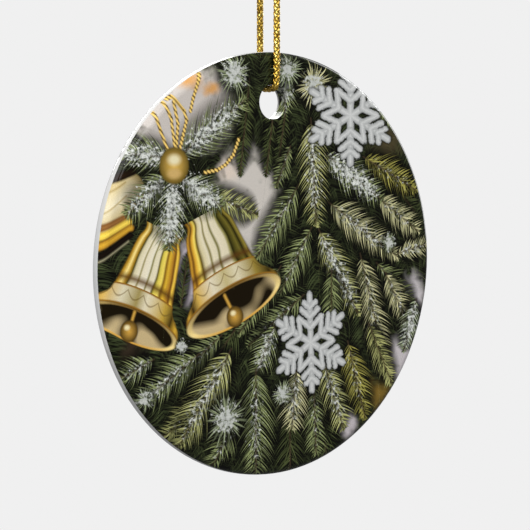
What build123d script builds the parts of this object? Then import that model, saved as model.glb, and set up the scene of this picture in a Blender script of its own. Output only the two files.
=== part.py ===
"""Round porcelain ornament with a printed picture face, hung on a knotted gold cord.

The origin is the hanging point, the inside top of the cord loop, where a hook bears.
The disc hangs straight below it: its axis runs along Y, and its picture faces -Y.
"""

import os
from math import cos, pi, radians, sin, tan

from build123d import *

os.makedirs("parts", exist_ok=True)

# ---- Porcelain disc ----
disc_diameter = 73.0
disc_thickness = 3.0
edge_radius = 1.45  # the glazed rim is rounded over almost to a full half circle
disc_drop = 78.0  # hanging point to disc centre
hole_diameter = 6.1
hole_rise = 27.9  # disc centre to hole centre
hole_edge_radius = 0.4

# ---- Printed picture coat ----
print_thickness = 0.06
print_wrap = 65.0  # degrees that the print runs on round the front of the rim
bare_band = 0.35  # unprinted band at the back end of the hole's wall

# ---- Cord ----
cord_diameter = 1.2
cord_gap = 0.12  # running clearance between the cord and the glaze
arch_drop = 6.0  # hanging point to the joint where the loop twists
joint_gap = 0.2  # free space between the two cord solids at that joint
neck_half = 0.64  # half the spacing of the two cords inside the knot

# ---- Knot ----
knot_bottom = 1.2
knot_height = 5.2
knot_radius = 2.4

# ---- Worked out ----
disc_radius = disc_diameter / 2
half_thick = disc_thickness / 2
hole_radius = hole_diameter / 2
disc_z = -disc_drop
hole_z = disc_z + hole_rise
cord_radius = cord_diameter / 2
cord_stand_off = print_thickness + cord_gap + cord_radius  # from the glaze to the cord's centre
strand_y = half_thick + cord_stand_off
bight_z = hole_z + hole_radius - cord_stand_off
bight_bend = hole_edge_radius + cord_stand_off  # the bend follows the rounded edge of the hole


def rim_point(radius, degrees):
    """A point on the front round-over of the rim; 0 degrees is where the flat face ends."""
    centre_r = disc_radius - edge_radius
    centre_y = -half_thick + edge_radius
    turn = radians(degrees)
    return (centre_r + radius * sin(turn), centre_y - radius * cos(turn))


def bend_radii(points):
    """0.45 of the shorter run beside each corner, over the tangent of half its turn."""
    spots = [Vector(*p) for p in points]
    radii = []
    for before, corner, after in zip(spots, spots[1:], spots[2:]):
        run_in = corner - before
        run_out = after - corner
        half_turn = radians(run_in.get_angle(run_out)) / 2
        radii.append(0.45 * min(run_in.length, run_out.length) / tan(half_turn))
    return radii


# ---- Disc: a plate with a rounded rim and one hanging hole with rounded edges ----
disc_axis = Axis((0, 0, disc_z), (0, 1, 0))
disc_plane = Plane(origin=(0, 0, disc_z), x_dir=(1, 0, 0), z_dir=(0, 0, 1))
with BuildPart() as porcelain_disc:
    with BuildSketch(disc_plane):
        with BuildLine():
            front = Line((0, -half_thick), (disc_radius - edge_radius, -half_thick))
            front_round = JernArc(front @ 1, front % 1, edge_radius, 90)
            rim_flat = Line(front_round @ 1, (disc_radius, half_thick - edge_radius))
            back_round = JernArc(rim_flat @ 1, rim_flat % 1, edge_radius, 90)
            back = Line(back_round @ 1, (0, half_thick))
            Line(back @ 1, (0, -half_thick))
        make_face()
    revolve(axis=disc_axis)
    hole_plane = Plane(origin=(0, -half_thick, hole_z), x_dir=(1, 0, 0), z_dir=(0, -1, 0))
    with Locations(hole_plane):
        Hole(hole_radius, disc_thickness)
    hole_edges = porcelain_disc.edges().filter_by(GeomType.CIRCLE)
    hole_edges = hole_edges.filter_by(lambda edge: abs(edge.radius - hole_radius) < 0.001)
    fillet(hole_edges, hole_edge_radius)
porcelain_disc.part.label = "porcelain_disc"

# ---- Picture print: a thin coat over the face, round the rim and down into the hole ----
with BuildPart() as picture_print:
    with BuildSketch(disc_plane):
        with BuildLine():
            under_face = Line((0, -half_thick), rim_point(edge_radius, 0))
            under_rim = ThreePointArc(
                under_face @ 1,
                rim_point(edge_radius, print_wrap / 2),
                rim_point(edge_radius, print_wrap),
            )
            lip = Line(under_rim @ 1, rim_point(edge_radius + print_thickness, print_wrap))
            over_rim = ThreePointArc(
                lip @ 1,
                rim_point(edge_radius + print_thickness, print_wrap / 2),
                rim_point(edge_radius + print_thickness, 0),
            )
            over_face = Line(over_rim @ 1, (0, -half_thick - print_thickness))
            Line(over_face @ 1, (0, -half_thick))
        make_face()
    revolve(axis=disc_axis)
    with Locations(hole_plane):
        Hole(hole_radius + hole_edge_radius, disc_thickness)
    lining_end = half_thick - hole_edge_radius - bare_band
    edge_ring = hole_radius + hole_edge_radius
    edge_y = -half_thick + hole_edge_radius
    slant = hole_edge_radius * cos(pi / 4)
    outer_slant = (hole_edge_radius + print_thickness) * cos(pi / 4)
    with BuildSketch(Plane(origin=(0, 0, hole_z), x_dir=(1, 0, 0), z_dir=(0, 0, 1))):
        with BuildLine():
            step = Line((edge_ring, -half_thick), (edge_ring, -half_thick - print_thickness))
            outer_bend = ThreePointArc(
                step @ 1,
                (edge_ring - outer_slant, edge_y - outer_slant),
                (hole_radius - print_thickness, edge_y),
            )
            bore = Line(outer_bend @ 1, (hole_radius - print_thickness, lining_end))
            bore_end = Line(bore @ 1, (hole_radius, lining_end))
            wall = Line(bore_end @ 1, (hole_radius, edge_y))
            ThreePointArc(wall @ 1, (edge_ring - slant, edge_y - slant), step @ 0)
        make_face()
    revolve(axis=Axis((0, 0, hole_z), (0, 1, 0)))
picture_print.part.label = "picture_print"

# ---- Cord sling: down the picture, back through the hole and up behind the disc ----
sling_top = -arch_drop - joint_gap
sling_route = [
    (0, -strand_y, sling_top),
    (0, -strand_y, bight_z),
    (0, strand_y, bight_z),
    (0, strand_y, sling_top),
]
with BuildPart() as cord_sling:
    with BuildLine() as sling_line:
        FilletPolyline(*sling_route, radius=[bight_bend, bight_bend])
    with BuildSketch(Plane(sling_route[0], z_dir=(0, 0, -1))):
        Circle(cord_radius)
    sweep()
cord_sling.part.label = "cord_sling"
print("sling bends:", round(bight_bend, 2), round(bight_bend, 2), "mm")

# ---- Cord ends: up over the hook, together through the knot, and out to their cut tips ----
front_route = [
    (0, -strand_y, -arch_drop),
    (0, -strand_y, -1.9),
    (0, -neck_half, 0.9),
    (0, -neck_half, 7.0),
    (-2.7, -1.5, 9.5),
    (-6.2, -2.3, 9.9),
    (-9.0, -2.6, 8.1),
]
back_route = [
    (0, strand_y, -arch_drop),
    (0, strand_y, -1.9),
    (0, neck_half, 0.9),
    (0, neck_half, 7.2),
    (2.4, 1.9, 9.6),
    (5.7, 3.1, 10.3),
    (8.6, 3.4, 8.8),
]
with BuildPart() as cord_end_front:
    with BuildLine() as front_line:
        FilletPolyline(*front_route, radius=bend_radii(front_route))
    with BuildSketch(Plane(front_route[0], z_dir=(0, 0, 1))):
        Circle(cord_radius)
    sweep()
cord_end_front.part.label = "cord_end_front"

with BuildPart() as cord_end_back:
    with BuildLine() as back_line:
        FilletPolyline(*back_route, radius=bend_radii(back_route))
    with BuildSketch(Plane(back_route[0], z_dir=(0, 0, 1))):
        Circle(cord_radius)
    sweep()
cord_end_back.part.label = "cord_end_back"

# ---- Knot: a tight overhand knot round both cord ends, as one plain rounded solid ----
knot_middle = knot_bottom + knot_height / 2
with BuildPart() as cord_knot:
    with BuildSketch(Plane.YZ):
        with BuildLine():
            outline = EllipticalCenterArc(
                (0, knot_middle),
                x_radius=knot_radius,
                y_radius=knot_height / 2,
                start_angle=-90,
                arc_size=180,
            )
            Line(outline @ 1, outline @ 0)
        make_face()
    revolve(axis=Axis.Z)
    add(cord_end_front.part, mode=Mode.SUBTRACT)
    add(cord_end_back.part, mode=Mode.SUBTRACT)
cord_knot.part.label = "cord_knot"

# ---- Cord report: bends, lengths, and each tube's volume against section times length ----
section = pi * cord_radius**2
for name, route in (("front", front_route), ("back", back_route)):
    print(name, "end bends:", [round(r, 2) for r in bend_radii(route)], "mm")
tubes = (
    ("sling", sling_line.wires()[0].length, cord_sling.part),
    ("front end", front_line.wires()[0].length, cord_end_front.part),
    ("back end", back_line.wires()[0].length, cord_end_back.part),
)
for name, length, tube in tubes:
    print(f"{name}: {length:.1f} mm long, volume ratio {tube.volume / (section * length):.4f}")
whole_cord = sum(length for _, length, _ in tubes)
print(f"cord end to end, without the turns in the knot: {whole_cord:.1f} mm")

for piece in (
    porcelain_disc,
    picture_print,
    cord_sling,
    cord_end_front,
    cord_end_back,
    cord_knot,
):
    export_step(piece.part, f"parts/{piece.part.label}.step")
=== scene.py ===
# %% [markdown]
# # A round porcelain ornament on a gold cord
# The object is a flat disc of glazed porcelain. Its face carries a printed winter picture: gold
# bells, fir branches with snow and two felt snowflakes. A loop of braided gold cord runs through
# the one hole and ends in a knot. The CAD model fixes every size and place. This script gives
# the pieces their real surfaces, one step at a time.

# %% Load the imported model
import math

import bpy
import numpy as np
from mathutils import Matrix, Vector


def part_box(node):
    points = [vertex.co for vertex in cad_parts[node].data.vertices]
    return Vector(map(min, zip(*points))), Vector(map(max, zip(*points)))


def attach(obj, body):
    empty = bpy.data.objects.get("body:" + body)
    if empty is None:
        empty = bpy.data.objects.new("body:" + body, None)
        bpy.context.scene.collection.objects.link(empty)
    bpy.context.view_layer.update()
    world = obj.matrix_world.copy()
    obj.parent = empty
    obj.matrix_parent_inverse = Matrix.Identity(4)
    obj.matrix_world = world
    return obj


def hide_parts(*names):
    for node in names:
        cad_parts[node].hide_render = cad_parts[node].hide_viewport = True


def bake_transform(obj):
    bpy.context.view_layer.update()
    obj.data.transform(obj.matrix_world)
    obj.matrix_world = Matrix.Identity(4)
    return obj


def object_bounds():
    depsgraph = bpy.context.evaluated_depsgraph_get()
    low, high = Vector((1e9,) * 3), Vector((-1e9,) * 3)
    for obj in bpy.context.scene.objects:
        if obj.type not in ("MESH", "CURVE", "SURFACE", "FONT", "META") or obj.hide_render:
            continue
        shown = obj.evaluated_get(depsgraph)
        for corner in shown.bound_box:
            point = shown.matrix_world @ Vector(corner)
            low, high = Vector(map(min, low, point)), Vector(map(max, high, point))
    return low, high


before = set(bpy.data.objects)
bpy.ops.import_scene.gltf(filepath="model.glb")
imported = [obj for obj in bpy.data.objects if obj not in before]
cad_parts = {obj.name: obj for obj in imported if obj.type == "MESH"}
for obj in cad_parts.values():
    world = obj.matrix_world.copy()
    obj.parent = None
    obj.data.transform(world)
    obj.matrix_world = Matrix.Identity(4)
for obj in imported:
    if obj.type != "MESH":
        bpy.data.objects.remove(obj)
cad_low, cad_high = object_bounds()
MM = 0.001
print("nodes:", sorted(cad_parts))
print("CAD box in mm:", [round((b - a) / MM, 1) for a, b in zip(cad_low, cad_high)])

# %% [markdown]
# ## Sizes that everything else follows
# The disc's box gives its centre, radius and thickness. The hole has no box of its own, so its
# place repeats the CAD model's own value.

# %% Sizes of the disc
disc_low, disc_high = (Vector(corner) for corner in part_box("porcelain_disc"))
centre = (disc_low + disc_high) / 2
radius = round((disc_high.x - disc_low.x) / 2 / MM, 1) * MM
half_thick = round((disc_high.y - disc_low.y) / 2 / MM, 2) * MM
hole_rise = 27.9 * MM
print("disc radius, half thickness in mm:", round(radius / MM, 2), round(half_thick / MM, 2))

# %% [markdown]
# ## The camera
# A long lens from about 42 cm looks at the disc from its left front, a little above level. The
# disc's own turn to the camera makes the circle an upright oval and shows the white rim.

# %% Camera
turn = math.radians(-38.83)
lift = math.radians(3.35)
distance = 0.424
towards_camera = Vector(
    (
        math.sin(turn) * math.cos(lift),
        -math.cos(turn) * math.cos(lift),
        math.sin(lift),
    )
)
sideways = Vector((math.cos(turn), math.sin(turn), 0))
aim = centre - 0.59 * MM * sideways - 0.19 * MM * Vector((0, 0, 1))
camera = bpy.data.objects.new("camera", bpy.data.cameras.new("camera"))
camera.data.lens = 166.7
camera.data.sensor_width = 36
camera.data.clip_start = 0.01
camera.location = aim + distance * towards_camera
camera.rotation_euler = towards_camera.to_track_quat("Z", "Y").to_euler()
bpy.context.collection.objects.link(camera)
bpy.context.scene.camera = camera
print("camera at", [round(v, 3) for v in camera.location])

# %% [markdown]
# ## Two small helpers
# Colours are picked as sRGB hex values, as a paint program shows them, while Blender computes
# with linear light, so one function converts them. A second one adds a shader node: it sets the
# node's options, feeds its inputs in order, and returns one of its outputs for the next node.


# %% Helpers for colours and nodes
def linear(hex_colour):
    """The linear RGBA of an sRGB colour such as "d9a441"."""
    parts = [int(hex_colour[i : i + 2], 16) / 255 for i in (0, 2, 4)]
    return [p / 12.92 if p <= 0.04045 else ((p + 0.055) / 1.055) ** 2.4 for p in parts] + [1.0]


def add(tree, kind, *inputs, out=0, **settings):
    """Adds one shader node, sets it up, feeds it, and returns one of its outputs.

    A kind of two words names the operation too, as in "Math ADD". With clamped=True a second
    node keeps the result between 0 and 1.
    """
    kind, *operation = kind.split()
    node = tree.nodes.new("ShaderNode" + kind)
    if operation:
        node.operation = operation[0]
    clamped = settings.pop("clamped", False)
    if "stops" in settings:
        stops = settings.pop("stops")
        while len(node.color_ramp.elements) < len(stops):
            node.color_ramp.elements.new(1.0)
        for element, (position, colour) in zip(node.color_ramp.elements, stops):
            element.position = position
            element.color = linear(colour)
    if "curve" in settings:
        line = node.mapping.curves[0]
        for spot_x, spot_y in settings.pop("curve"):
            line.points.new(spot_x, spot_y)
        line.points.remove(line.points[0])
        line.points.remove(line.points[-1])
        node.mapping.update()
    for name, value in settings.items():
        setattr(node, name, value)
    fed = inputs[0].items() if inputs and isinstance(inputs[0], dict) else enumerate(inputs)
    for place, value in fed:
        if isinstance(value, bpy.types.NodeSocket):
            tree.links.new(value, node.inputs[place])
        elif value is not None:
            node.inputs[place].default_value = value
    made = node.outputs[out] if node.outputs else None
    return add(tree, "Clamp", made) if clamped else made


print("sRGB 808080 in linear light:", [round(v, 3) for v in linear("808080")])

# %% [markdown]
# ## Light and backdrop
# Small glossy goods are shot in a light tent: the backdrop glows an even pale grey, and big soft
# boxes light the piece from the front and above. The sky of this scene is that tent. It looks
# pale to the camera and is dimmer for the light that falls on the piece, so that the gold and
# the glaze keep dark tones to reflect.

# %% Sky
bpy.context.scene.view_settings.view_transform = "Standard"
PALE = linear("f0f0f0")
world = bpy.data.worlds.new("light tent")
bpy.context.scene.world = world
world.use_nodes = True
world.node_tree.nodes.clear()
seen = add(world.node_tree, "LightPath", out="Is Camera Ray")
dim = add(world.node_tree, "Background", [0.32, 0.32, 0.33, 1], 1.0)
bright = add(world.node_tree, "Background", PALE, 1.0)
sky = add(world.node_tree, "MixShader", seen, dim, bright)
add(world.node_tree, "OutputWorld", sky)
print("sky:", world.name)

# %% Floor of the tent
floor_drop = 0.12
floor_mesh = bpy.data.meshes.new("floor")
reach = 30.0
floor_z = cad_low[2] - floor_drop
corners = [(-reach, -reach), (reach, -reach), (reach, reach), (-reach, reach)]
floor_mesh.from_pydata([(x, y, floor_z) for x, y in corners], [], [(0, 1, 2, 3)])
floor = bpy.data.objects.new("floor", floor_mesh)
bpy.context.collection.objects.link(floor)
glow = bpy.data.materials.new("glowing tent floor")
glow.use_nodes = True
glow.node_tree.nodes.clear()
seen = add(glow.node_tree, "LightPath", out="Is Camera Ray")
dim = add(glow.node_tree, "Emission", [0.3, 0.3, 0.31, 1], 1.0)
bright = add(glow.node_tree, "Emission", PALE, 1.0)
add(glow.node_tree, "OutputMaterial", add(glow.node_tree, "MixShader", seen, dim, bright))
floor_mesh.materials.append(glow)
print("floor at", round(floor_z, 3), "m")

# %% Soft boxes
SOFT_BOXES = [  # name, azimuth, elevation, distance, width, height in metres, watts
    ("key", -62, 38, 0.75, 0.5, 0.5, 5.6),
    ("front fill", -8, 30, 0.9, 0.5, 0.3, 4.0),
    ("right edge", 100, 20, 0.8, 0.25, 0.6, 3.0),
    ("back", 170, 35, 0.8, 0.6, 0.4, 8.5),
]
for name, azimuth, elevation, away, wide, high, watts in SOFT_BOXES:
    light = bpy.data.lights.new(name, "AREA")
    light.shape = "RECTANGLE"
    light.size = wide
    light.size_y = high
    light.energy = watts
    box = bpy.data.objects.new(name, light)
    a, e = math.radians(azimuth), math.radians(elevation)
    towards = Vector((math.sin(a) * math.cos(e), -math.cos(a) * math.cos(e), math.sin(e)))
    box.location = centre + away * towards
    box.rotation_euler = towards.to_track_quat("Z", "Y").to_euler()
    bpy.context.collection.objects.link(box)
print("soft boxes:", [s[0] for s in SOFT_BOXES])

# %% [markdown]
# ## The cord: its line
# The cord is one length of braid. It starts at a cut tip above the knot, runs down over the
# face, through the hole, up behind the disc and back through the knot to its other tip. A limp
# cord under tension follows one smooth line, so its route is a smooth curve through a few given
# points: the CAD model's own corners, and near the hole a few more that hold the curve
# clear of the hole's edge. The braid is then built around that curve.

# %% Route of the cord, in millimetres
strand_y = 2.28
neck_y = 0.64
bight_z = -47.83
ROUTE = [
    (-9.0, -2.6, 8.1),
    (-6.2, -2.3, 9.9),
    (-2.7, -1.5, 9.5),
    (0, -neck_y, 7.0),
    (0, -neck_y, 0.9),
    (0, -strand_y, -1.9),
    (0, -strand_y, bight_z + 7.2),
    (0, -strand_y, bight_z + 0.75),
    (0, -1.55, bight_z - 0.03),
    (0, 1.55, bight_z - 0.03),
    (0, strand_y, bight_z + 0.75),
    (0, strand_y, bight_z + 7.2),
    (0, strand_y, -1.9),
    (0, neck_y, 0.9),
    (0, neck_y, 7.2),
    (2.4, 1.9, 9.6),
    (5.7, 3.1, 10.3),
    (8.6, 3.4, 8.8),
]


def smooth_line(name, route, resolution):
    """The points in metres of a smooth curve with the route's points as its control points."""
    curve = bpy.data.curves.new(name, "CURVE")
    curve.dimensions = "3D"
    curve.resolution_u = resolution
    spline = curve.splines.new("NURBS")
    spline.points.add(len(route) - 1)
    for point, place in zip(spline.points, route):
        point.co = (*(v * MM for v in place), 1)
    spline.order_u = 3
    spline.use_endpoint_u = True
    carrier = bpy.data.objects.new(name, curve)
    bpy.context.collection.objects.link(carrier)
    bpy.context.view_layer.update()
    mesh = bpy.data.meshes.new_from_object(carrier)
    points = np.array([v.co for v in mesh.vertices])
    bpy.data.objects.remove(carrier)
    bpy.data.meshes.remove(mesh)
    return points


cord_line = smooth_line("cord_route", ROUTE, 40)
cord_length = np.linalg.norm(np.diff(cord_line, axis=0), axis=1).sum()
print("cord line:", len(cord_line), "points,", round(cord_length / MM, 1), "mm")

# %% [markdown]
# ## The cord: its braid
# Gift cord is a round braid of flat metallised threads over a core. Four threads wind to the
# left and four to the right, and each passes over one crossing thread and under the next. A
# thread could be only a bump pattern, but real threads give real gaps, shadows and glints. So
# every thread is a thin oval tube on a helix, whose distance from the core rises and falls at
# each crossing.

# %% Frames along a line, and a tube around one
def even_frames(points, step):
    """Even places along the line, with two directions across it that don't twist on the way."""
    gaps = np.linalg.norm(np.diff(points, axis=0), axis=1)
    along = np.concatenate([[0], np.cumsum(gaps)])
    marks = np.linspace(0, along[-1], int(round(along[-1] / step)) + 1)
    places = np.stack([np.interp(marks, along, points[:, i]) for i in range(3)], axis=1)
    ahead = np.gradient(places, axis=0)
    ahead /= np.linalg.norm(ahead, axis=1)[:, None]
    first = np.cross(ahead[0], (0.31, 0.87, 0.39))
    across = []
    for direction in ahead:
        first = first - direction * np.dot(first, direction)
        first = first / np.linalg.norm(first)
        across.append(first)
    across = np.array(across)
    return marks, places, across, np.cross(ahead, across)


def tube(centres, wide, thick, sides):
    """Points and quads of a closed oval tube; wide and thick are its half axes as vectors."""
    turns = np.linspace(0, 2 * math.pi, sides, endpoint=False)
    loops = (
        centres[:, None]
        + wide[:, None] * np.cos(turns)[None, :, None]
        + thick[:, None] * np.sin(turns)[None, :, None]
    )
    count = len(centres)
    quads = []
    for ring in range(count - 1):
        low, high = ring * sides, (ring + 1) * sides
        for k in range(sides):
            after = (k + 1) % sides
            quads.append((low + k, low + after, high + after, high + k))
    quads.append(tuple(range(sides - 1, -1, -1)))
    quads.append(tuple((count - 1) * sides + k for k in range(sides)))
    return loops.reshape(-1, 3), quads


print("places one millimetre apart:", len(even_frames(cord_line, MM)[0]))

# %% The braid
CORD = 1.2 * MM
BRAID_PITCH = 4.6 * MM
THREADS_EACH_WAY = 4
THREAD_WIDE = 0.27 * MM
THREAD_THICK = 0.085 * MM
WEAVE = 0.075 * MM
CORE = 0.36 * MM
STEP = 0.16 * MM
FRAYED = 1.4 * MM


def braid(name, points, fray=0.0):
    """A round braid of flat threads along the line, each thread and the core a closed tube."""
    marks, places, across, up = even_frames(points, STEP)
    from_end = np.minimum(marks, marks[-1] - marks)
    spread = 1 + fray * np.clip(1 - from_end / FRAYED, 0, 1) ** 2
    seat = CORD / 2 - THREAD_THICK - WEAVE
    verts, quads, kinds = [], [], []
    used = 0
    strands = [(0, 0)] + [(w, k) for w in (1, -1) for k in range(THREADS_EACH_WAY)]
    for way, k in strands:
        if way == 0:
            wide, thick = across * CORE, up * CORE
            centres, sides = places, 10
        else:
            angle = way * 2 * math.pi * marks / BRAID_PITCH + 2 * math.pi * k / THREADS_EACH_WAY
            lift = way * WEAVE * np.cos(2 * math.pi * THREADS_EACH_WAY * marks / BRAID_PITCH)
            out = across * np.cos(angle)[:, None] + up * np.sin(angle)[:, None]
            centres = places + out * ((seat + lift) * spread)[:, None]
            ahead = np.gradient(centres, axis=0)
            ahead /= np.linalg.norm(ahead, axis=1)[:, None]
            wide, thick, sides = np.cross(out, ahead) * THREAD_WIDE, out * THREAD_THICK, 6
        points_here, quads_here = tube(centres, wide, thick, sides)
        verts.append(points_here)
        quads += [tuple(used + i for i in quad) for quad in quads_here]
        kinds += [int(way == 0)] * len(quads_here)
        used += len(points_here)
    mesh = bpy.data.meshes.new(name)
    mesh.from_pydata(np.concatenate(verts).tolist(), [], quads)
    mesh.polygons.foreach_set("use_smooth", [True] * len(quads))
    mesh.polygons.foreach_set("material_index", kinds)
    mesh.update()
    obj = bpy.data.objects.new(name, mesh)
    bpy.context.collection.objects.link(obj)
    print(name, "quads:", len(quads))
    return obj, places


gold_cord, cord_places = braid("gold_cord", cord_line, fray=0.5)

# %% [markdown]
# ## The knot
# The two ends are tied together in a tight knot, so that the loop can't slip open. Cord that
# is pulled tight lies in turns around the ends, each turn touching the next. The knot is more
# of the same braid, wound on a short slanting helix around both ends, with its own ends tucked
# in.

# %% Knot
KNOT_LOW = 1.2
KNOT_HIGH = 6.4
KNOT_TURNS = 3
POINTS_PER_TURN = 14
KNOT_TUCKED = 0.55
KNOT_BELLY = 1.15
KNOT_INSET = 0.75


def knot_point(step):
    """One control point of the winding, in millimetres; it starts and ends tucked in."""
    share = step / (KNOT_TURNS * POINTS_PER_TURN)
    angle = 2 * math.pi * step / POINTS_PER_TURN
    belly = math.sin(math.pi * min(max(share, 0), 1)) ** 0.5
    r = KNOT_TUCKED + KNOT_BELLY * belly
    middle = KNOT_LOW + KNOT_INSET + (KNOT_HIGH - KNOT_LOW - 2 * KNOT_INSET) * share
    slant = 0.35 * math.sin(angle + 0.6)
    return (r * math.cos(angle) * 0.92, r * math.sin(angle) * 1.05, middle + slant * belly)


knot_route = [knot_point(step) for step in range(KNOT_TURNS * POINTS_PER_TURN + 1)]
cord_knot, _ = braid("tied_knot", smooth_line("knot_route", knot_route, 12))
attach(cord_knot, "loop_top")
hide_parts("cord_knot")

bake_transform(gold_cord)
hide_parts("cord_sling", "cord_end_front", "cord_end_back")
print("cord declared:", gold_cord.name, "with", cord_knot.name)

# %% [markdown]
# ## Metallised thread
# The yarn is gold lame: a polyester film with a metal coat, slit into flat strips. It is a
# metal to the eye, with a fairly sharp shine, small creases from the braiding, and places where
# the coat is worn to a duller brown. The core is plain brown cotton, seen only in the gaps.

# %% Metallised thread and core
def material(name):
    """A new node material, emptied, and its tree."""
    made = bpy.data.materials.new(name)
    made.use_nodes = True
    made.node_tree.nodes.clear()
    return made, made.node_tree


WORN_PATCH = 0.91 * MM
CREASE_WIDE = 0.143 * MM
FLUFF_WIDE = 0.2 * MM
lame, tree = material("gold lame film")
point = add(tree, "TexCoord", out="Object")
worn = add(tree, "TexNoise", {"Vector": point, "Scale": 1 / WORN_PATCH, "Detail": 2.0}, out="Fac")
tone = add(
    tree, "ValToRGB", worn, stops=[(0.3, "7c5c18"), (0.5, "c9a84a"), (0.72, "e6d078")]
)
dull = add(tree, "Math MULTIPLY_ADD", worn, -0.5, 0.58)
crease = add(tree, "TexNoise", {"Vector": point, "Scale": 1 / CREASE_WIDE, "Detail": 1.0}, out="Fac")
crease = add(tree, "Bump", {"Strength": 0.5, "Distance": 0.03 * MM, "Height": crease})
film = add(
    tree, "BsdfPrincipled", {"Base Color": tone, "Roughness": dull, "Normal": crease}
)
film.node.inputs["Metallic"].default_value = 1.0
add(tree, "OutputMaterial", film)
core, tree = material("brown cotton yarn")
point = add(tree, "TexCoord", out="Object")
fluff = add(tree, "TexNoise", {"Vector": point, "Scale": 1 / FLUFF_WIDE, "Detail": 2.0}, out="Fac")
brown = add(tree, "ValToRGB", fluff, stops=[(0.3, "33240a"), (0.7, "5c4216")])
cotton = add(tree, "BsdfPrincipled", {"Base Color": brown, "Roughness": 0.9})
add(tree, "OutputMaterial", cotton)
for piece in (gold_cord, cord_knot):
    piece.data.materials.append(lame)
    piece.data.materials.append(core)
print("materials:", lame.name, "and", core.name)

# %% [markdown]
# ## The picture: how it is drawn
# The print is a sharp glossy transfer. No image file is used: the picture is drawn by shader
# nodes in millimetres on the disc's face, like a painting. It starts with a dark background,
# and then each fir branch, bell or snowflake covers a part of what is under it. Anything that
# comes more than once is a node group that takes the colour under it and its own place, turn
# and size. So the whole picture is a chain of such strokes, from back to front.

# %% Node groups for the picture
MILLIONTH = (1e-6, 1e-6, 1e-6)


def stamp(name, takes):
    """A new node group that covers the colour "Under" at the point "Face", and its inputs.

    The face point takes up a millionth of the colour under it. That moves nothing, but the
    renderer then has to finish one stroke before the next. A long chain of strokes fits its
    small working memory only in that way.
    """
    tree = bpy.data.node_groups.new(name, "ShaderNodeTree")
    tree.interface.new_socket("Picture", in_out="OUTPUT", socket_type="NodeSocketColor")
    sockets = {"Under": (0, 0, 0, 1), "Face": (0, 0, 0)} | takes
    for label, start in sockets.items():
        kind = "Float" if isinstance(start, float) else {3: "Vector", 4: "Color"}[len(start)]
        made = tree.interface.new_socket(label, socket_type="NodeSocket" + kind)
        made.default_value = start
    given = dict(tree.nodes.new("NodeGroupInput").outputs.items())
    if "Along" not in takes:
        given["Face"] = add(tree, "VectorMath MULTIPLY_ADD", given["Under"], MILLIONTH, given["Face"])
    return tree, given


def deliver(tree, colour):
    """Sends the colour out of the node group."""
    tree.links.new(colour, tree.nodes.new("NodeGroupOutput").inputs[0])
    print("stamp:", tree.name, "with", len(tree.nodes), "nodes")


# %% [markdown]
# ### Needles
# A fir needle is a thin stroke that leaves its stem at an angle. Sheared coordinates turn that
# slant into straight columns: how far along the stem the needle starts, and how far out it has
# grown. Each column is one needle, and a random number per column makes it longer, paler or a
# little off its place. A branch is three rows of needles: two that stand off the stem, and one
# that lies forward along it, which also fills the tip.

# %% Stamp: one row of needles, and which needle a point lies on
row, given = stamp(
    "needle row",
    {
        "Along": 0.0, "Off": 0.0, "Side": 0.0, "Length": 10.0, "Reach": 3.5, "Gap": 0.62,
        "Lean": 0.8, "Curl": 0.0, "Seed": 0.0, "Dark": (0, 0, 0, 1), "Light": (1, 1, 1, 1),
    },
)
lean_back = add(row, "Math MULTIPLY", given["Lean"], -1.0)
start = add(row, "Math MULTIPLY_ADD", given["Off"], lean_back, given["Along"])
curl = add(row, "Math MULTIPLY", given["Off"], given["Off"])
start = add(row, "Math MULTIPLY_ADD", curl, given["Curl"], start)
column = add(row, "Math DIVIDE", start, given["Gap"])
column = add(row, "Math MULTIPLY_ADD", given["Side"], 0.31, column)
number = add(row, "Math FLOOR", column)
# one random colour per needle and side gives three chances: length, tone and place
cell = add(row, "Math MULTIPLY_ADD", number, 7.31, given["Seed"])
cell = add(row, "Math MULTIPLY_ADD", given["Side"], 3.77, cell)
chance = add(row, "TexWhiteNoise", {"W": cell}, out="Color", noise_dimensions="1D")
chance = add(row, "SeparateColor", chance).node.outputs
within = add(row, "Math FRACT", column)
within = add(row, "Math MULTIPLY_ADD", chance[2], 0.42, within)
within = add(row, "Math SUBTRACT", within, 0.71)
within = add(row, "Math ABSOLUTE", within)
print("needle row, places:", len(row.nodes), "nodes")

# %% How far each needle reaches: short at the base and tip of the branch
share = add(row, "Math DIVIDE", start, given["Length"])
taper = add(row, "Math POWER", share, 3.0, clamped=True)
taper = add(row, "Math SUBTRACT", 1.0, taper, clamped=True)
taper = add(row, "Math POWER", taper, 0.6)
budding = add(row, "Math MULTIPLY_ADD", start, 0.35, 0.45, clamped=True)
taper = add(row, "Math MULTIPLY", taper, budding)
longer = add(row, "Math MULTIPLY_ADD", chance[0], 0.5, 0.5)
reach = add(row, "Math MULTIPLY", given["Reach"], longer)
reach = add(row, "Math MULTIPLY", reach, taper)
reach = add(row, "Math MAXIMUM", reach, 0.01)
print("needle row, lengths:", len(row.nodes), "nodes")

# %% A pointed needle, pale along its middle and towards its tip
grown = add(row, "Math DIVIDE", given["Off"], reach)
point = add(row, "Math MULTIPLY", grown, grown)
point = add(row, "Math MULTIPLY_ADD", point, -0.38, 0.38)
edge = add(row, "Math SUBTRACT", point, within)
begun = add(row, "Math GREATER_THAN", start, -0.2)
cover = add(row, "Math MULTIPLY", edge, 7.0, clamped=True)
cover = add(row, "Math MULTIPLY", cover, begun)
pale = add(row, "Math MULTIPLY_ADD", edge, 1.7, -0.18)
pale = add(row, "Math MULTIPLY_ADD", grown, 0.55, pale)
spread = add(row, "Math MULTIPLY_ADD", chance[1], 0.8, -0.4)
pale = add(row, "Math ADD", pale, spread, clamped=True)
green = add(row, "MixRGB", pale, given["Dark"], given["Light"])
deliver(row, add(row, "MixRGB", cover, given["Under"], green))

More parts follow.
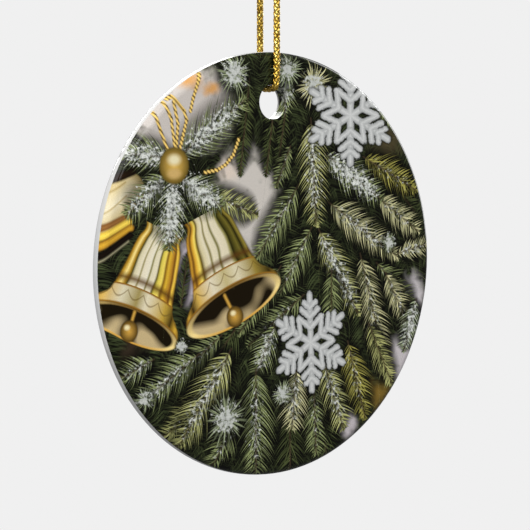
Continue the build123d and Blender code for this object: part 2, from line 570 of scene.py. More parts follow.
# %% Stamp: a fir branch, its place and the shade under it
SHADE = linear("0a0a06")
SNOW_DEEP = linear("3c423c")
SNOW_DARK = linear("7e827e")
SNOW_LIGHT = linear("cfd1cb")
branch, given = stamp(
    "fir branch",
    {
        "Base": (0, 0, 0), "Ahead": (1, 0, 0), "Aside": (0, 1, 0), "Length": 10.0,
        "Reach": 3.5, "Snow": 0.0, "Lumps": 0.5, "Seed": 0.0, "Shadow": 0.85,
        "Dark": linear("1c210d"), "Light": linear("8d9a62"),
    },
)
local = add(branch, "VectorMath SUBTRACT", given["Face"], given["Base"])
along = add(branch, "VectorMath DOT_PRODUCT", local, given["Ahead"], out="Value")
across = add(branch, "VectorMath DOT_PRODUCT", local, given["Aside"], out="Value")
off = add(branch, "Math ABSOLUTE", across)
side = add(branch, "Math SIGN", across)
share = add(branch, "Math DIVIDE", along, given["Length"])
inside = add(branch, "Math SUBTRACT", share, 0.45)
inside = add(branch, "Math MULTIPLY", inside, 1.75)
inside = add(branch, "Math POWER", inside, 4.0)
out_by = add(branch, "Math DIVIDE", off, given["Reach"])
inside = add(branch, "Math ADD", inside, out_by)
inside = add(branch, "Math SUBTRACT", 1.0, inside, clamped=True)
shade = add(branch, "Math MULTIPLY", inside, 2.2, clamped=True)
shade = add(branch, "Math MULTIPLY", shade, given["Shadow"])
print("fir branch, shade:", len(branch.nodes), "nodes")

# %% Snow of the branch: frost on its needles first, then lumps along the stem
snow = add(branch, "Math MULTIPLY_ADD", given["Lumps"], 3.0, -1.5)
snow = add(branch, "Math ADD", snow, inside)
snow = add(branch, "Math ADD", snow, given["Snow"])
frosted = add(branch, "Math MULTIPLY_ADD", snow, 2.0, -2.0, clamped=True)
any_snow = add(branch, "Math GREATER_THAN", given["Snow"], 0.05)
frosted = add(branch, "Math MULTIPLY", frosted, any_snow)
lumpy = add(branch, "Math MULTIPLY_ADD", snow, 3.2, -4.2, clamped=True)
lumpy = add(branch, "Math MULTIPLY", lumpy, any_snow)
print("fir branch, snow:", len(branch.nodes), "nodes")

# %% Needles of the branch, its twig and its lumps of snow
tip = add(branch, "MixRGB", frosted, given["Light"], SNOW_LIGHT)
base = add(branch, "MixRGB", frosted, given["Dark"], SNOW_DEEP)
drawn = add(branch, "MixRGB", shade, given["Under"], SHADE)
NEEDLE_ROWS = [  # lean and curl of a needle, gap in mm, share of the reach, random shift
    (0.5, -0.11, 0.58, 1.0, 0.0),
    (0.35, -0.16, 0.74, 0.92, 11.0),
    (1.9, -0.2, 1.3, 0.45, 23.0),
]
for lean, curl, gap, part, shift in NEEDLE_ROWS:
    wide = add(branch, "Math MULTIPLY", given["Reach"], part)
    seed = add(branch, "Math ADD", given["Seed"], shift)
    takes = {
        "Under": drawn, "Along": along, "Off": off, "Side": side, "Seed": seed,
        "Length": given["Length"], "Reach": wide, "Gap": gap, "Lean": lean, "Curl": curl,
        "Dark": base, "Light": tip,
    }
    drawn = add(branch, "Group", takes, node_tree=row)
twig = add(branch, "Math MULTIPLY_ADD", off, -4.0, 1.1, clamped=True)
on_twig = add(branch, "Math GREATER_THAN", inside, 0.3)
twig = add(branch, "Math MULTIPLY", twig, on_twig)
twig = add(branch, "Math MULTIPLY", twig, 0.6)
drawn = add(branch, "MixRGB", twig, drawn, linear("4e4030"))
white = add(branch, "Math MULTIPLY_ADD", given["Lumps"], 3.0, -1.0, clamped=True)
white = add(branch, "MixRGB", white, SNOW_DARK, SNOW_LIGHT)
deliver(branch, add(branch, "MixRGB", lumpy, drawn, white))

# %% Stamp: a tuft of needles seen from its tip
tuft, given = stamp(
    "needle tuft",
    {
        "Base": (0, 0, 0), "Reach": 4.0, "Snow": 1.5, "Lumps": 0.5, "Seed": 0.0,
        "Dark": linear("2c3316"), "Light": linear("a3ad84"),
    },
)
local = add(tuft, "VectorMath SUBTRACT", given["Face"], given["Base"])
away = add(tuft, "VectorMath LENGTH", local, out="Value")
right = add(tuft, "VectorMath DOT_PRODUCT", local, (1, 0, 0), out="Value")
up = add(tuft, "VectorMath DOT_PRODUCT", local, (0, 1, 0), out="Value")
angle = add(tuft, "Math ARCTAN2", up, right)
angle = add(tuft, "Math ADD", angle, 100.0)
near = add(tuft, "Math DIVIDE", away, given["Reach"])
shade = add(tuft, "Math SUBTRACT", 1.0, near, clamped=True)
shade = add(tuft, "Math MULTIPLY", shade, 3.0, clamped=True)
shade = add(tuft, "Math MULTIPLY", shade, 0.8)
drawn = add(tuft, "MixRGB", shade, given["Under"], SHADE)
for gap, shift in [(0.23, 0.0), (0.31, 7.0), (0.27, 15.0)]:
    seed = add(tuft, "Math ADD", given["Seed"], shift)
    takes = {
        "Under": drawn, "Along": angle, "Off": away, "Side": 1.0, "Seed": seed,
        "Length": 1000.0, "Reach": given["Reach"], "Gap": gap, "Lean": 0.0,
        "Dark": given["Dark"], "Light": given["Light"],
    }
    drawn = add(tuft, "Group", takes, node_tree=row)
ring = add(tuft, "Math DIVIDE", away, given["Snow"])
snow = add(tuft, "Math MULTIPLY_ADD", given["Lumps"], 4.5, -1.3)
snow = add(tuft, "Math SUBTRACT", snow, ring)
snow = add(tuft, "Math MULTIPLY", snow, 1.7, clamped=True)
white = add(tuft, "MixRGB", given["Lumps"], SNOW_DARK, SNOW_LIGHT)
deliver(tuft, add(tuft, "MixRGB", snow, drawn, white))

# %% Stamp: a field of shaded branches, all hanging one way
field, given = stamp(
    "needle field",
    {
        "Ahead": (0, -1, 0), "Aside": (1, 0, 0), "Wide": 6.5, "Cover": 1.0,
        "Dark": linear("0c0e07"), "Light": linear("525c3a"),
    },
)
along = add(field, "VectorMath DOT_PRODUCT", given["Face"], given["Ahead"], out=1)
across = add(field, "VectorMath DOT_PRODUCT", given["Face"], given["Aside"], out=1)
bent = add(field, "Math MULTIPLY", along, 0.35)
bent = add(field, "Math SINE", bent)
across = add(field, "Math MULTIPLY_ADD", bent, 0.9, across)
strip = add(field, "Math DIVIDE", across, given["Wide"])
number = add(field, "Math FLOOR", strip)
within = add(field, "Math SUBTRACT", strip, number)
within = add(field, "Math SUBTRACT", within, 0.5)
side = add(field, "Math SIGN", within)
off = add(field, "Math ABSOLUTE", within)
off = add(field, "Math MULTIPLY", off, given["Wide"])
along = add(field, "Math MULTIPLY_ADD", number, 5.3, along)
along = add(field, "Math ADD", along, 200.0)
drawn = given["Under"]
for lean, gap, part, shift in [(0.45, 0.62, 0.78, 0.0), (0.3, 0.8, 0.7, 31.0)]:
    seed = add(field, "Math ADD", number, shift)
    wide = add(field, "Math MULTIPLY", given["Wide"], part)
    takes = {
        "Under": drawn, "Along": along, "Off": off, "Side": side, "Seed": seed,
        "Length": 1000.0, "Reach": wide, "Gap": gap, "Lean": lean, "Curl": -0.1,
        "Dark": given["Dark"], "Light": given["Light"],
    }
    drawn = add(field, "Group", takes, node_tree=row)
deliver(field, add(field, "MixRGB", given["Cover"], given["Under"], drawn))

# %% [markdown]
# ### Snowflakes, cords and soft spots
# A felt snowflake repeats one arm six times, so the plane is folded into one sixth and only one
# arm with three side twigs is drawn. Every straight stroke uses the distance to a line from one
# point to another. A soft spot is an oval patch of colour with a blurred edge, for what lies
# out of focus.

# %% Stamp: a stroke, which a twist turns into plied cord
PLY_SLANT = (7.0, 7.0, 0)  # across the plies, in radians of their shading for each mm
stroke, given = stamp(
    "stroke",
    {
        "From": (0, 0, 0), "To": (1, 0, 0), "Wide": 0.4, "Soft": 0.25, "Twist": 0.0,
        "Middle": linear("d9b64a"), "Edge": linear("6a4a10"),
    },
)
span = add(stroke, "VectorMath SUBTRACT", given["To"], given["From"])
local = add(stroke, "VectorMath SUBTRACT", given["Face"], given["From"])
size = add(stroke, "VectorMath DOT_PRODUCT", span, span, out="Value")
share = add(stroke, "VectorMath DOT_PRODUCT", local, span, out="Value")
share = add(stroke, "Math DIVIDE", share, size, clamped=True)
foot = add(stroke, "VectorMath SCALE", {0: span, "Scale": share})
gap = add(stroke, "VectorMath SUBTRACT", local, foot)
gap = add(stroke, "VectorMath LENGTH", gap, out="Value")
edge = add(stroke, "Math SUBTRACT", given["Wide"], gap)
cover = add(stroke, "Math DIVIDE", edge, given["Soft"], clamped=True)
inner = add(stroke, "Math DIVIDE", edge, given["Wide"], clamped=True)
slant = add(stroke, "VectorMath DOT_PRODUCT", given["Face"], PLY_SLANT, out=1)
slant = add(stroke, "Math SINE", slant)
slant = add(stroke, "Math MULTIPLY", slant, given["Twist"])
inner = add(stroke, "Math ADD", inner, slant, clamped=True)
colour = add(stroke, "MixRGB", inner, given["Edge"], given["Middle"])
deliver(stroke, add(stroke, "MixRGB", cover, given["Under"], colour))

# %% Stamp: a soft spot
spot, given = stamp(
    "soft spot",
    {"Base": (0, 0, 0), "Size": (1, 1, 1), "Soft": 0.5, "Tint": (1, 1, 1, 1)},
)
local = add(spot, "VectorMath SUBTRACT", given["Face"], given["Base"])
local = add(spot, "VectorMath DIVIDE", local, given["Size"])
away = add(spot, "VectorMath LENGTH", local, out="Value")
cover = add(spot, "Math SUBTRACT", 1.0, away)
cover = add(spot, "Math DIVIDE", cover, given["Soft"], clamped=True)
cover = add(spot, "MapRange", {"Value": cover}, clamp=False, interpolation_type="SMOOTHSTEP")
deliver(spot, add(spot, "MixRGB", cover, given["Under"], given["Tint"]))

# %% Stamp: a felt snowflake
flake, given = stamp(
    "felt snowflake", {"Base": (0, 0, 0), "Size": (1, 1, 1), "Turn": 0.0, "Lumps": 0.5}
)
local = add(flake, "VectorMath SUBTRACT", given["Face"], given["Base"])
local = add(flake, "VectorMath DIVIDE", local, given["Size"])
away = add(flake, "VectorMath LENGTH", local, out="Value")
away = add(flake, "Math MULTIPLY_ADD", given["Lumps"], 0.16, away)
away = add(flake, "Math SUBTRACT", away, 0.08)
right = add(flake, "VectorMath DOT_PRODUCT", local, (1, 0, 0), out="Value")
up = add(flake, "VectorMath DOT_PRODUCT", local, (0, 1, 0), out="Value")
angle = add(flake, "Math ARCTAN2", up, right)
angle = add(flake, "Math SUBTRACT", angle, given["Turn"])
angle = add(flake, "Math PINGPONG", angle, math.pi / 6)
cosine = add(flake, "Math COSINE", angle)
sine = add(flake, "Math SINE", angle)
along = add(flake, "Math MULTIPLY", away, cosine)
beside = add(flake, "Math MULTIPLY", away, sine)
folded = add(flake, "CombineXYZ", along, beside)
felt = given["Under"]
FLAKE_TWIGS = [((0, 0, 0), (0.97, 0, 0), 0.09)] + [
    ((s, 0, 0), (s + 0.6 * size, 0.8 * size, 0), 0.08)
    for s, size in [(0.3, 0.36), (0.52, 0.27), (0.71, 0.19)]
]
for extra, middle, edge in [
    (0.035, linear("15160f"), linear("15160f")),
    (0.0, linear("bcbdbb"), linear("929493")),
]:
    for begin, finish, wide in FLAKE_TWIGS:
        takes = {
            "Under": felt, "Face": folded, "From": begin, "To": finish,
            "Wide": wide + extra, "Soft": 0.028 + extra, "Middle": middle, "Edge": edge,
        }
        felt = add(flake, "Group", takes, node_tree=stroke)
deliver(flake, felt)

# %% [markdown]
# ### Bells
# A polished bell mirrors its surroundings as upright bands: pale sky, dark branches and its own
# warm gold. Each band keeps its place across the bell's width, and the width follows the bell's
# outline. Below the shoulder a flared lip carries a fine engraved scroll. The mouth is seen a
# little from below, as an oval with a bright rim and a dark inside.

# %% Stamp: a polished bell
BELL_OUTLINE = [
    (0.0, 1.0), (0.08, 0.98), (0.16, 0.87), (0.25, 0.72), (0.34, 0.665),
    (0.55, 0.585), (0.78, 0.5), (0.92, 0.41), (1.0, 0.28),
]
BELL_TALL = 18.0


def bell(name, mouth_wide, mouth_high, bands, lip_bands):
    """The stamp of one bell, for the half axes of its mouth and the bands it mirrors."""
    tree, given = stamp(
        name, {"Base": (0, 0, 0), "Up": (0, 1, 0), "Aside": (1, 0, 0), "Haze": 0.5}
    )
    local = add(tree, "VectorMath SUBTRACT", given["Face"], given["Base"])
    rise = add(tree, "VectorMath DOT_PRODUCT", local, given["Up"], out=1)
    across = add(tree, "VectorMath DOT_PRODUCT", local, given["Aside"], out=1)
    part = add(tree, "Math DIVIDE", across, mouth_wide)
    part_squared = add(tree, "Math MULTIPLY", part, part)
    bow = add(tree, "Math SUBTRACT", 1.0, part_squared)
    bow = add(tree, "Math MAXIMUM", bow, 0.0)
    bow = add(tree, "Math SQRT", bow)
    above = add(tree, "Math MULTIPLY_ADD", bow, -mouth_high, rise)
    # the body, as wide as its outline
    share = add(tree, "Math DIVIDE", rise, BELL_TALL)
    outline = add(tree, "FloatCurve", 1.0, share, curve=BELL_OUTLINE)
    outline = add(tree, "Math MULTIPLY", outline, mouth_wide)
    inside = add(tree, "Math DIVIDE", across, outline)
    ripple = add(tree, "Math SUBTRACT", given["Haze"], 0.5)
    mirror = add(tree, "Math MULTIPLY_ADD", ripple, 0.07, 0.5)
    mirror = add(tree, "Math MULTIPLY_ADD", inside, 0.5, mirror)
    metal = add(tree, "ValToRGB", mirror, stops=bands)
    hollow = add(tree, "Math SUBTRACT", above, 4.6)
    hollow = add(tree, "Math ABSOLUTE", hollow)
    hollow = add(tree, "Math MULTIPLY_ADD", hollow, -0.9, 0.85, clamped=True)
    metal = add(tree, "MixRGB", hollow, metal, linear("5a3c0c"))
    edge = add(tree, "Math ABSOLUTE", inside)
    edge = add(tree, "Math MULTIPLY_ADD", edge, -16.0, 16.0, clamped=True)
    started = add(tree, "Math GREATER_THAN", above, 0.0)
    top = add(tree, "Math LESS_THAN", rise, BELL_TALL - 1.0)
    cover = add(tree, "Math MULTIPLY", edge, started)
    cover = add(tree, "Math MULTIPLY", cover, top)
    drawn = add(tree, "MixRGB", cover, given["Under"], metal)
    # the lip, with its engraved scroll
    lip_at = add(tree, "Math MULTIPLY_ADD", part, 0.5, 0.5)
    lip = add(tree, "ValToRGB", lip_at, stops=lip_bands)
    wave = add(tree, "Math MULTIPLY", across, 0.95)
    wave = add(tree, "Math SINE", wave)
    wave = add(tree, "Math ABSOLUTE", wave)
    scroll = add(tree, "Math ADD", above, -2.6)
    scroll = add(tree, "Math MULTIPLY_ADD", wave, 1.3, scroll)
    scroll = add(tree, "Math ABSOLUTE", scroll)
    scroll = add(tree, "Math MULTIPLY_ADD", scroll, -5.0, 1.2, clamped=True)
    scroll = add(tree, "Math MULTIPLY", scroll, 0.6)
    lip = add(tree, "MixRGB", scroll, lip, linear("6a5420"))
    rims = add(tree, "Math SUBTRACT", above, 1.75)
    rims = add(tree, "Math ABSOLUTE", rims)
    rims = add(tree, "Math MULTIPLY_ADD", rims, 4.0, -5.4, clamped=True)
    lip = add(tree, "MixRGB", rims, lip, linear("8a6414"))
    low = add(tree, "Math LESS_THAN", above, 3.5)
    low = add(tree, "Math MULTIPLY", low, cover)
    drawn = add(tree, "MixRGB", low, drawn, lip)
    # the mouth: bright rim, dark inside, blurred glints
    high = add(tree, "Math DIVIDE", rise, mouth_high)
    high_squared = add(tree, "Math MULTIPLY", high, high)
    oval = add(tree, "Math ADD", part_squared, high_squared)
    rim_at = add(tree, "Math MULTIPLY_ADD", high, 0.5, 0.5)
    rim_gold = add(
        tree, "ValToRGB", rim_at, stops=[(0.0, "c0922c"), (0.35, "dcc888"), (1.0, "6a4c10")]
    )
    glint = add(tree, "Math MULTIPLY_ADD", given["Haze"], 4.5, -2.1)
    glint = add(tree, "Math MULTIPLY_ADD", high, -0.5, glint, clamped=True)
    within = add(tree, "MixRGB", glint, linear("1e1604"), linear("b4a27a"))
    in_rim = add(tree, "Math MULTIPLY_ADD", oval, -9.0, 7.6, clamped=True)
    mouth = add(tree, "MixRGB", in_rim, rim_gold, within)
    in_mouth = add(tree, "Math MULTIPLY_ADD", oval, -12.0, 12.4, clamped=True)
    deliver(tree, add(tree, "MixRGB", in_mouth, drawn, mouth))
    return tree


print("bell outline:", len(BELL_OUTLINE), "points")

# %% The two bells, with what each one mirrors
left_bell = bell(
    "left bell",
    9.6,
    2.8,
    [
        (0.0, "4a3006"), (0.05, "b08c1c"), (0.1, "e0cc80"), (0.15, "a8841c"), (0.19, "4a4410"),
        (0.23, "c4bc9a"), (0.31, "d0c8b0"), (0.335, "8c8454"), (0.36, "cec6ae"),
        (0.45, "d0cab6"), (0.475, "7a743c"), (0.5, "cac3a8"), (0.57, "cec6ac"),
        (0.6, "5c5420"), (0.64, "c8b84c"), (0.7, "d6c258"), (0.74, "7a5a08"),
        (0.79, "c8a418"), (0.86, "a87c10"), (0.9, "6a4408"), (0.94, "dcb83c"), (1.0, "3c2404"),
    ],
    [
        (0.0, "5a3a0c"), (0.1, "c0a050"), (0.28, "c6bfa5"), (0.45, "968852"),
        (0.55, "cac2a8"), (0.76, "b09434"), (0.86, "443408"), (0.93, "c09c24"),
        (1.0, "5a3c08"),
    ],
)
right_bell = bell(
    "right bell",
    10.9,
    3.4,
    [
        (0.0, "2c1c06"), (0.05, "b88c14"), (0.09, "6e4a0a"), (0.13, "c89c1c"), (0.18, "dcc65c"),
        (0.22, "5c4c0c"), (0.27, "c2b892"), (0.35, "ccc4ac"), (0.385, "7c7440"),
        (0.42, "ccc4aa"), (0.5, "c6bea4"), (0.53, "6e6a30"), (0.57, "cac2aa"),
        (0.68, "c6bea4"), (0.72, "8e8850"), (0.76, "2c2a06"), (0.86, "6c6424"),
        (0.91, "2c2808"), (0.96, "8a7c30"), (1.0, "3c3410"),
    ],
    [
        (0.0, "4c3208"), (0.06, "b8922c"), (0.12, "3c2c08"), (0.2, "c0a04a"),
        (0.36, "cac2aa"), (0.5, "b2a678"), (0.62, "c6bea2"), (0.8, "8e7c34"),
        (0.92, "3c3008"), (1.0, "9a7c2c"),
    ],
)

# %% [markdown]
# ### The print material
# The coat is a glossy transfer over glaze, so it has a clear shine, is slightly uneven, and
# its blacks stay deep. Inside the hole the picture runs on down the wall.

# %% Face coordinates in millimetres
picture, sheet = material("glossy printed transfer")
point = add(sheet, "TexCoord", out="Object")
point = add(sheet, "SeparateXYZ", point).node.outputs
face_x = add(sheet, "Math MULTIPLY", point[0], 1 / MM)
face_z = add(sheet, "Math MULTIPLY_ADD", point[2], 1 / MM, -centre.z / MM)
depth = add(sheet, "Math MULTIPLY_ADD", point[1], 1 / MM, half_thick / MM)
flat_face = add(sheet, "CombineXYZ", face_x, face_z)
HOLE = (0, hole_rise / MM, 0)
HOLE_EDGE = 3.6  # radius in mm that takes in the hole and its rounded edge
WALL_SINK = 0.3  # share of the radius that the picture moves in, for each mm down the wall
from_hole = add(sheet, "VectorMath SUBTRACT", flat_face, HOLE)
hole_away = add(sheet, "VectorMath LENGTH", from_hole, out="Value")
by_hole = add(sheet, "Math LESS_THAN", hole_away, HOLE_EDGE)
sink = add(sheet, "Math MULTIPLY_ADD", depth, -WALL_SINK, 1.0, clamped=True)
sink = add(sheet, "Math SUBTRACT", sink, 1.0)
sink = add(sheet, "Math MULTIPLY_ADD", sink, by_hole, 1.0)
face_at = add(sheet, "VectorMath SCALE", {0: from_hole, "Scale": sink})
face_at = add(sheet, "VectorMath ADD", face_at, HOLE)
print("hole at", HOLE, "mm from the middle of the face")

# %% Dark wood of the background
rough = add(sheet, "TexNoise", {"Vector": face_at, "Scale": 0.45, "Detail": 3.0}, out=0)
rough = add(sheet, "Math MULTIPLY_ADD", rough, 3.2, -1.25, clamped=True)
drawing = add(sheet, "MixRGB", rough, linear("0c0b06"), linear("1e1d12"))
wobble = add(sheet, "TexNoise", {"Vector": face_at, "Scale": 0.35, "Detail": 2.0}, out="Color")
wobble = add(sheet, "VectorMath SUBTRACT", wobble, (0.5, 0.5, 0.5))
wobble = add(sheet, "VectorMath SCALE", {0: wobble, "Scale": 2.5})
blurred = add(sheet, "VectorMath ADD", face_at, wobble)
print("background:", len(sheet.nodes), "nodes")


# %% Helpers that paint one stamp, stroke or patch
def paint(group, place, **sizes):
    """Covers the drawing so far with one stamp."""
    global drawing
    takes = {key.replace("_", " "): value for key, value in sizes.items()}
    drawing = add(sheet, "Group", {"Under": drawing, "Face": place} | takes, node_tree=group)


def draw_line(begin, finish, wide, soft, middle, edge, twist=0.0):
    """Paints a straight stroke from one place on the face to another."""
    ends = {"From": (*begin, 0), "To": (*finish, 0)}
    tints = {"Middle": linear(middle), "Edge": linear(edge)}
    paint(stroke, face_at, Wide=wide, Soft=soft, Twist=twist, **ends, **tints)


def draw_spot(x, z, wide, high, tint, soft, place):
    """Paints a blurred oval patch."""
    paint(spot, place, Base=(x, z, 0), Size=(wide, high, 1), Soft=soft, Tint=linear(tint))


print("ready to paint on", picture.name)

# %% Fields of needles and blurred patches
lumps = add(
    sheet, "TexNoise", {"Vector": face_at, "Scale": 1.35, "Detail": 5.0, "Roughness": 0.68}, out=0
)
haze = add(sheet, "TexNoise", {"Vector": face_at, "Scale": 0.22, "Detail": 0.0}, out=0)
FIELDS = [  # direction the branches point to, width of one, share that shows
    (-75, 6.5, 0.9),
    (-125, 7.5, 0.55),
]
for degrees, wide, share in FIELDS:
    ahead = (math.cos(math.radians(degrees)), math.sin(math.radians(degrees)), 0)
    paint(field, face_at, Ahead=ahead, Aside=(-ahead[1], ahead[0], 0), Wide=wide, Cover=share)

BACKGROUND = [  # centre x and z, half width, half height, colour, softness
    (-20, 27, 14, 10, "b4aea8", 0.45),
    (-6, 11, 9, 12, "b6b1aa", 0.5),
    (-10, 16, 3.5, 3, "c2b6aa", 0.8),
    (-18.5, -1, 3.2, 7, "b0a8ae", 0.6),
    (32, -6.5, 4, 5, "b2adae", 0.6),
    (29.5, -18, 4.5, 5.5, "b2adae", 0.6),
    (17, -29, 3, 3.5, "aca6a8", 0.7),
    (-18, 31.5, 4, 2.5, "bc9058", 0.9),
    (-13.5, 30, 2.4, 1.8, "bc9058", 0.9),
    (24, -24, 4, 4, "7a6428", 0.9),
    (26, 21, 6, 5, "4e4630", 0.9),
    (-30, -13.5, 4, 3.5, "3a3024", 0.8),
]
for patch in BACKGROUND:
    draw_spot(*patch, place=blurred)
print("background patches:", len(BACKGROUND))

# %% [markdown]
# ### Branches, from back to front
# Each line below is one branch: where its stem starts and ends on the face, how far its
# needles reach to the side, how much snow lies on it, and its tones.

# %% The branches behind the bells
TONES = {
    "deep": ("080a04", "5c653e"),
    "mid": ("0f1308", "9aa470"),
    "fresh": ("181c08", "bcbd7e"),
    "bright": ("2a3010", "d6d2a4"),
    "yellow": ("171907", "b0aa58"),
    "frost": ("151a0e", "a6b08c"),
}
NEEDLE_SLANT = 1.25  # a needle is this much longer than it reaches to the side


def draw_branches(branches, shadow=0.85):
    """Paints the branches in their order, each over a shadow of the given strength."""
    for x0, z0, x1, z1, reach, snow, tone in branches:
        dark, light = (linear(shade) for shade in TONES[tone])
        length = math.hypot(x1 - x0, z1 - z0)
        ahead = ((x1 - x0) / length, (z1 - z0) / length, 0)
        paint(
            branch, face_at, Base=(x0, z0, 0), Ahead=ahead, Aside=(-ahead[1], ahead[0], 0),
            Length=length, Reach=reach * NEEDLE_SLANT, Snow=snow, Lumps=lumps, Shadow=shadow,
            Seed=float(round(x0 * 3 + z1 * 7)), Dark=dark, Light=light,
        )
    print("branches:", len(branches))


BACK_BRANCHES = [
    (10, -24, 12.5, -37, 4, 0.0, "deep"),
    (3.5, -27, 3.7, -37.5, 4, 0.05, "deep"),
    (-6, -8, -15, -18, 4, 0.05, "deep"),
    (-20, -6, -18.5, 3, 1.6, 0.0, "deep"),
    (-5.5, 31, -7.5, 15, 2.4, 0.0, "deep"),
    (0, 27, -1.8, 15, 2.6, 0.05, "deep"),
    (2.5, 26, 0.5, 15, 1.8, 0.0, "deep"),
    (24, 17, 33, 8, 3.6, 0.05, "deep"),
    (20, 33, 28, 24, 4, 0.1, "mid"),
    (24, -1, 33, -9, 3, 0.1, "mid"),
]
draw_branches(BACK_BRANCHES)

BRANCHES = [
    (3, 37, 2.3, 26, 3.5, 0.5, "mid"),
    (3.5, 20, 0.4, 13, 2.2, 0.1, "mid"),
    (6, -6, -6, -14, 3.4, 0.1, "mid"),
    (5, 13, -4, 1, 3.5, 0.15, "mid"),
    (8, 5.5, 1, -5.5, 3.4, 0.1, "mid"),
    (22, -2, 23, -12, 3, 0.2, "bright"),
    (26, -3, 31, -12, 3, 0.15, "bright"),
    (33, -8, 30, -17, 3, 0.5, "frost"),
    (20, 0, 26, -20, 3.5, 0.2, "bright"),
    (10.5, 5, 19.5, -10, 3.6, 0.42, "fresh"),
    (13, 10, 29, 0, 3.5, 0.3, "bright"),
    (29, 1, 36, 2.5, 2.6, 0.3, "bright"),
    (21, 18, 33.5, 12, 3.4, 0.1, "yellow"),
    (24, 11, 34, 4.5, 3.2, 0.15, "bright"),
    (12, 18.5, 25, 10.5, 3.7, 0.6, "mid"),
    (8.3, 24, 9.5, 6, 3.8, 0.35, "fresh"),
    (13, -2, 13, -12, 2.8, 0.0, "mid"),
    (1, -1, -8, -12, 3, 0.0, "mid"),
    (22, -12, 27.5, -23, 3, 0.0, "fresh"),
    (-7, -23, -14, -35, 3.6, 0.15, "mid"),
    (9, -22, 9.5, -34, 3.4, 0.1, "mid"),
    (-26, -15, -33, -18, 3, 0.3, "mid"),
    (-14, -21, -24, -28.5, 3.4, 0.1, "fresh"),
    (0, -11, -4, -19, 3.5, 0.4, "mid"),
    (-12, -12, -22, -19, 3.2, 0.15, "mid"),
    (-17, -15, -30, -23, 3.6, 0.3, "mid"),
    (-10, -15, -21, -30.5, 4.5, 0.32, "fresh"),
    (17, -15, 21, -28.5, 3.6, 0.1, "yellow"),
    (11.5, -18, 16, -30, 3.6, 0.3, "fresh"),
    (-4, -19, -4, -37, 4.5, 0.22, "mid"),
    (5, -19, 4, -29, 3.8, 0.3, "bright"),
    (-13, 12, -3.5, 8.5, 3.2, 0.15, "fresh"),
]
draw_branches(BRANCHES)

# %% [markdown]
# ### Bells, bead and cords
# The bells hang under a bead that gathers their cords. Snowy branch tips lie over the tops of
# the bells, so they are painted after them, and the bead and its cords come last.

# %% A third bell, cut off by the rim
FAR_BELL = [  # from, to, half width, middle and edge colours
    ((-30.5, 13.2), (-38, 7.8), 3.2, "ccc4aa", "b09c62"),
    ((-31.4, 14.6), (-38, 10.6), 0.35, "9a8650", "b8a878"),
    ((-31.2, 12.4), (-38, 7.4), 0.3, "a08c58", "c0b08a"),
    ((-29.8, 16.4), (-35, 14.6), 0.9, "2a1c0c", "15100a"),
    ((-30.6, 9.2), (-37, 6.6), 0.75, "8a6230", "6a4620"),
    ((-30.6, 8.2), (-37, 5.2), 0.8, "dcc44c", "a88420"),
    ((-30.3, 7.1), (-37, 3.7), 0.8, "c09818", "8a6008"),
    ((-30.4, 5.9), (-37, 2), 0.8, "1c130a", "0c0906"),
    ((-30.8, 4.9), (-37, 1.2), 0.4, "8f8a70", "3c3828"),
]
for begin, finish, wide, middle, edge in FAR_BELL:
    draw_line(begin, finish, wide, 0.4, middle, edge)
print("third bell drawn with", len(FAR_BELL), "strokes")


def draw_bell(shape, x, z, lean, ball, stem):
    """Paints a bell whose mouth is centred at x, z, and its clapper."""
    up = (math.sin(math.radians(lean)), math.cos(math.radians(lean)), 0)
    aside = (up[1], -up[0], 0)
    paint(shape, face_at, Base=(x, z, 0), Up=up, Aside=aside, Haze=haze)
    foot = (ball[0], ball[1] - 0.05)
    draw_line(stem, ball, 0.55, 0.3, "c0983c", "2c1e04")
    draw_line(ball, foot, 1.95, 0.3, "c0983c", "2c1e04")
    draw_spot(ball[0] - 0.4, ball[1] + 0.6, 0.9, 0.7, "d8cca0", 0.8, place=face_at)


draw_bell(right_bell, -8.7, -6.7, -22.6, (-8.56, -8.6), (-10.8, -4.9))
draw_bell(left_bell, -29.8, -9.15, 22.3, (-30.75, -9.9), (-29.6, -6.8))

# %% Snowy tips over the bells
FRONT_BRANCHES = [
    (-22, 18.5, -33, 19.5, 3.6, 0.55, "mid"),
    (-20, 19, -6, 28.5, 4.2, 0.5, "mid"),
    (-20, 15, -11, 10, 3.8, 0.6, "mid"),
    (-23, 15.5, -31.5, 9, 3.8, 0.48, "mid"),
    (-21.5, 15, -22.5, 3, 4.2, 0.62, "mid"),
]
draw_branches(FRONT_BRANCHES, shadow=0.6)

# %% Cords of the bells, and the bead
BELL_CORDS = [
    [(-15.8, 32.6), (-17.4, 28.5), (-18, 26.3)],
    [(-21.5, 27.8), (-20.6, 24.2), (-21, 20)],
    [(-25.4, 26.1), (-24.2, 23), (-22.8, 20)],
    [(-23.4, 27.8), (-22, 25), (-21.2, 20)],
    [(-22.6, 28.3), (-21.7, 28.7), (-19.3, 26.3), (-18.8, 24.8), (-20.2, 20)],
    [(-7.7, 21.6), (-8.9, 18.9), (-10.5, 17.3), (-12.3, 16.4), (-15, 16)],
]
for cord_points in BELL_CORDS:
    for begin, finish in zip(cord_points, cord_points[1:]):
        draw_line(begin, finish, 0.45, 0.25, "d6b968", "4c380e", twist=0.6)
BEAD_X, BEAD_Z = -21.4, 17.2
draw_line((BEAD_X, BEAD_Z), (BEAD_X, BEAD_Z + 0.05), 3.25, 0.4, "caa850", "544610")
draw_spot(BEAD_X, BEAD_Z - 1.3, 2.1, 1.3, "b89c62", 0.7, place=face_at)
draw_spot(BEAD_X, BEAD_Z + 1.0, 2.0, 1.4, "cec6a4", 0.8, place=face_at)
print("bell cords:", len(BELL_CORDS))

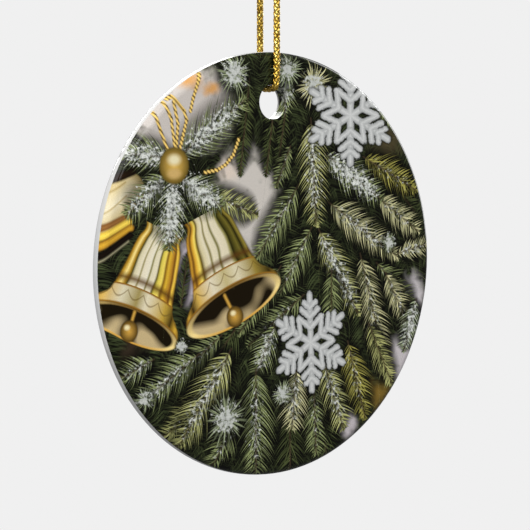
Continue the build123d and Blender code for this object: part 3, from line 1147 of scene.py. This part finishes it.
# %% Tufts and snowflakes
TUFTS = [  # centre, reach of the needles, radius of the snow, tone
    (-8.7, 32.7, 4.6, 2.4, "frost"),
    (8.8, 31, 5, 2.2, "bright"),
    (3, 33.5, 4.4, 1.8, "frost"),
    (-10.5, -26, 5.6, 2.6, "frost"),
    (26.5, 3, 2.4, 1.4, "frost"),
    (-27.5, -21.5, 2.6, 1.4, "frost"),
    (2, -22.5, 3, 1.6, "frost"),
    (-20, -13, 1.6, 1.2, "frost"),
]
for x, z, reach, snow, tone in TUFTS:
    dark, light = (linear(shade) for shade in TONES[tone])
    paint(
        tuft, face_at, Base=(x, z, 0), Reach=reach, Snow=snow, Lumps=lumps,
        Seed=float(round(x + 5 * z)), Dark=dark, Light=light,
    )
FLAKES = [  # centre, half width and half height in mm, turn in degrees
    (17.3, 25.6, 10.4, 8.6, 30),
    (8.25, -14, 8.6, 8.6, 32),
]
for x, z, wide, high, degrees in FLAKES:
    flat = {"Size": (wide, high, 1), "Turn": math.radians(degrees)}
    paint(flake, face_at, Base=(x, z, 0), Lumps=lumps, **flat)
print("picture drawn with", len(sheet.nodes), "nodes")

# %% [markdown]
# ### Gloss of the print
# Fired transfer ink is smooth but not perfectly flat: it swims a little on the glaze, and its
# solid tones carry a fine grain. A weak bump a few millimetres wide and a faint grain of about
# 0.15 mm give both. The deep blacks need a low specular level, as under a clear coat. A press
# also gives a steeper tone curve than the drawing has: darks close up and lights open, which
# a gamma node and one gain make over the whole picture.

# %% Finish of the print
grain = add(sheet, "TexNoise", {"Vector": face_at, "Scale": 6.5, "Detail": 2.0}, out=0)
grain = add(sheet, "ValToRGB", grain, stops=[(0.25, "dedede"), (0.75, "ffffff")])
deep = add(sheet, "Gamma", drawing, 1.17)
inked = add(sheet, "HueSaturation", {"Color": deep, "Saturation": 0.96, "Value": 1.44})
inked = add(sheet, "MixRGB", 1.0, inked, grain, blend_type="MULTIPLY")
swim = add(sheet, "TexNoise", {"Vector": face_at, "Scale": 0.28, "Detail": 1.0}, out=0)
swim = add(sheet, "Bump", {"Strength": 0.25, "Distance": 0.06 * MM, "Height": swim})
shine = add(
    sheet,
    "BsdfPrincipled",
    {"Base Color": inked, "Roughness": 0.12, "Specular IOR Level": 0.1, "Normal": swim},
)
add(sheet, "OutputMaterial", shine)
print("print finish:", picture.name)

# %% [markdown]
# ## Glazed porcelain
# The blank is slip-cast or pressed porcelain, fired with a clear glaze. It is an even white with
# a very smooth, wet gloss. A real glaze is a little wavy, has faint clouds where it pooled, and
# now and then a tiny iron speck. Those keep the plain back and rim from looking like plastic.

# %% Glaze of the disc
CLOUD_WIDE = 16.67 * MM
SPECK_APART = 5.88 * MM
WAVE_WIDE = 4.545 * MM
glaze, tree = material("glazed porcelain")
point = add(tree, "TexCoord", out="Object")
clouds = add(tree, "TexNoise", {"Vector": point, "Scale": 1 / CLOUD_WIDE, "Detail": 3.0}, out=0)
white = add(tree, "ValToRGB", clouds, stops=[(0.3, "bbbcbb"), (0.7, "c5c4c1")])
speck = add(tree, "TexVoronoi", {"Vector": point, "Scale": 1 / SPECK_APART}, out="Distance")
speck = add(tree, "Math LESS_THAN", speck, 0.035)
speck = add(tree, "Math MULTIPLY", speck, 0.35)
white = add(tree, "MixRGB", speck, white, linear("8a7d6a"))
waves = add(tree, "TexNoise", {"Vector": point, "Scale": 1 / WAVE_WIDE, "Detail": 1.0}, out=0)
waves = add(tree, "Bump", {"Strength": 0.3, "Distance": 0.05 * MM, "Height": waves})
wet = add(
    tree,
    "BsdfPrincipled",
    {"Base Color": white, "Roughness": 0.07, "Specular IOR Level": 0.38, "Normal": waves},
)
add(tree, "OutputMaterial", wet)

# %% The two CAD pieces take their finishes
for name, finish in [("picture_print", picture), ("porcelain_disc", glaze)]:
    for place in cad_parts[name].material_slots:
        place.material = finish
    print(name, "is now", finish.name)
